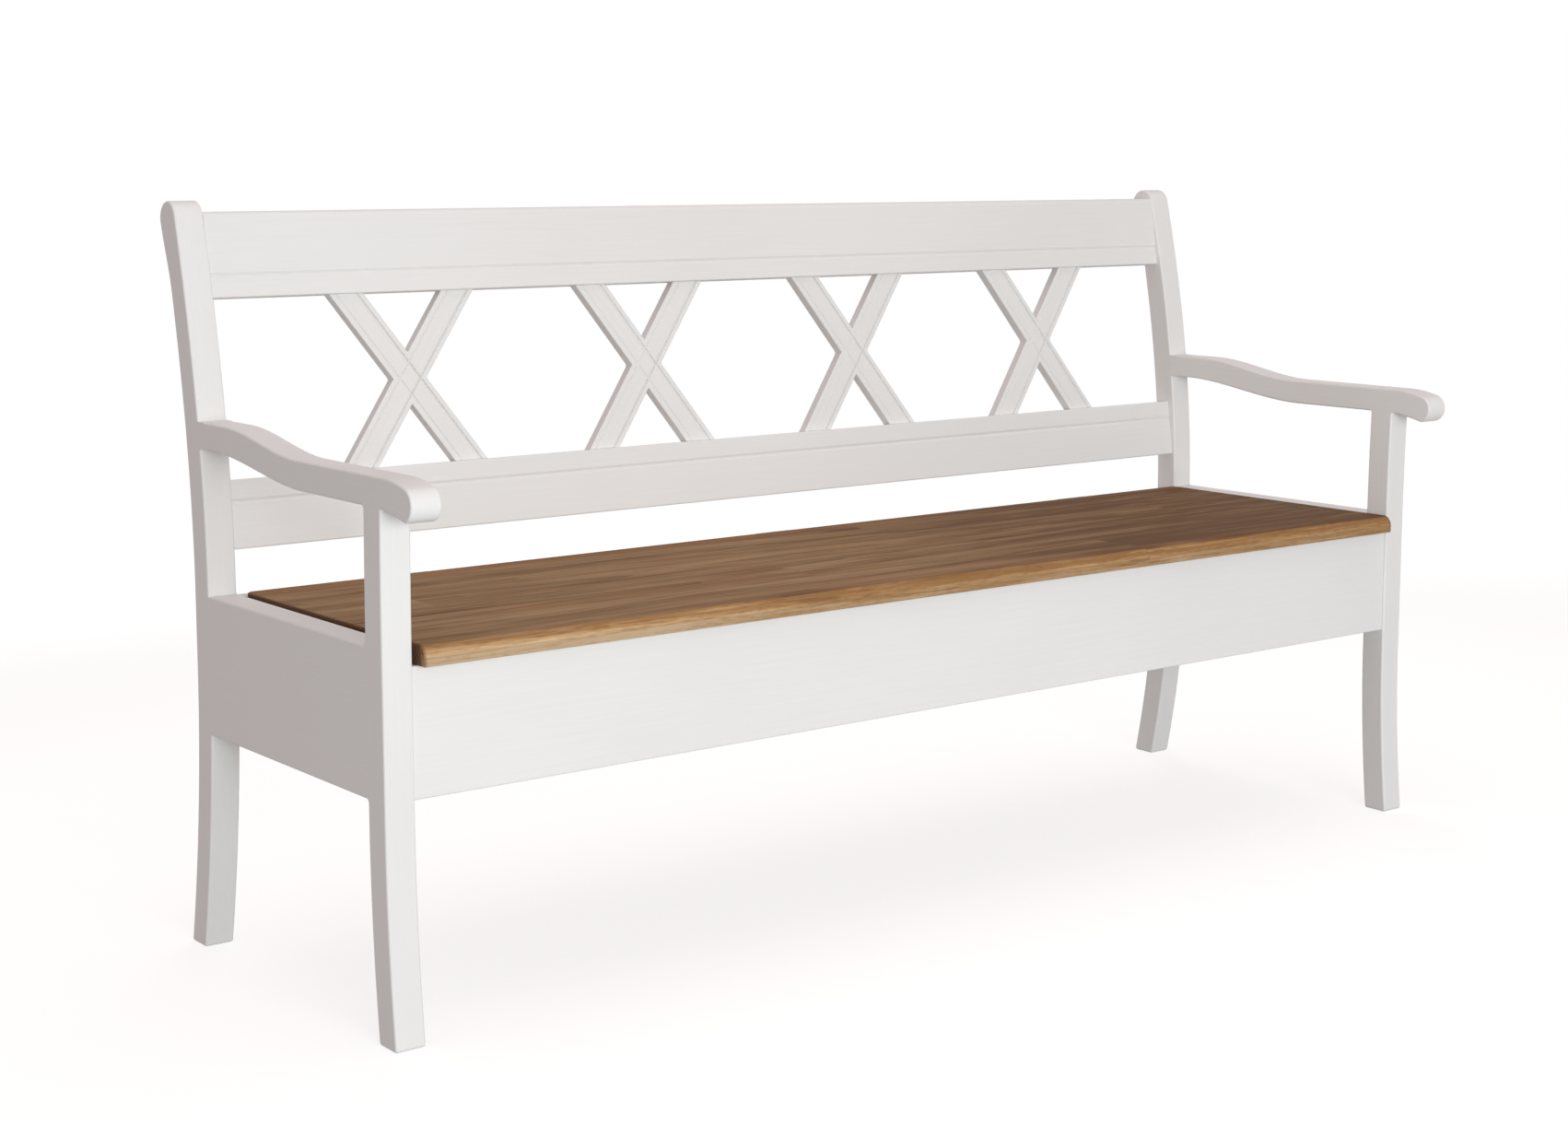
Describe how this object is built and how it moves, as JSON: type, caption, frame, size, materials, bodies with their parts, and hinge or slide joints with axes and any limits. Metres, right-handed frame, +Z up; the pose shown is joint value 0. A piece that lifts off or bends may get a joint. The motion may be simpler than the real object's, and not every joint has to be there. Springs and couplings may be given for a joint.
{
  "type": "settle bench",
  "caption": "Long painted settle bench with armrests and crosses in the leaning back; its oak seat lifts on rear hinges over a storage box.",
  "frame": {"origin": "on the floor, under the middle of the bench in width and in whole depth", "axes": "+X along the bench, to the right when seen from the front; -Y towards the front; +Z up"},
  "size_m": [1.8, 0.63, 0.964],
  "materials": {
    "painted_wood": "warm white satin paint over solid wood",
    "oiled_oak": "brown oil, satin, grain lengthwise",
    "bare_wood": "planed, unfinished",
    "hinge_steel": "bright zinc plate"
  },
  "bodies": {
    "frame": {"left_rear_post": "painted_wood", "left_front_post": "painted_wood", "left_arm": "painted_wood", "left_side_panel": "painted_wood", "right_rear_post": "painted_wood", "right_front_post": "painted_wood", "right_arm": "painted_wood", "right_side_panel": "painted_wood", "front_panel": "painted_wood", "back_panel": "painted_wood", "front_bearer": "bare_wood", "rear_bearer": "bare_wood", "left_bearer": "bare_wood", "right_bearer": "bare_wood", "box_floor": "bare_wood", "lower_back_rail": "painted_wood", "crest_rail": "painted_wood", "cross_1_strip_a": "painted_wood", "cross_1_strip_b": "painted_wood", "cross_2_strip_a": "painted_wood", "cross_2_strip_b": "painted_wood", "cross_3_strip_a": "painted_wood", "cross_3_strip_b": "painted_wood", "cross_4_strip_a": "painted_wood", "cross_4_strip_b": "painted_wood", "hinge_1_fixed_leaf": "hinge_steel", "hinge_1_pin": "hinge_steel", "hinge_2_fixed_leaf": "hinge_steel", "hinge_2_pin": "hinge_steel", "hinge_3_fixed_leaf": "hinge_steel", "hinge_3_pin": "hinge_steel", "panel_screw_1": "hinge_steel", "panel_screw_2": "hinge_steel", "panel_screw_3": "hinge_steel", "panel_screw_4": "hinge_steel", "panel_screw_5": "hinge_steel", "panel_screw_6": "hinge_steel"},
    "seat": {"seat": "oiled_oak", "hinge_1_seat_leaf": "hinge_steel", "hinge_2_seat_leaf": "hinge_steel", "hinge_3_seat_leaf": "hinge_steel", "seat_screw_1": "hinge_steel", "seat_screw_2": "hinge_steel", "seat_screw_3": "hinge_steel", "seat_screw_4": "hinge_steel", "seat_screw_5": "hinge_steel", "seat_screw_6": "hinge_steel"}
  },
  "joints": [
    {"name": "seat_hinge", "type": "hinge", "parent": "frame", "child": "seat", "pos_m": [0, 0.20251, 0.467], "axis": [-1, 0, 0], "range_deg": [0, 95]}
  ]
}
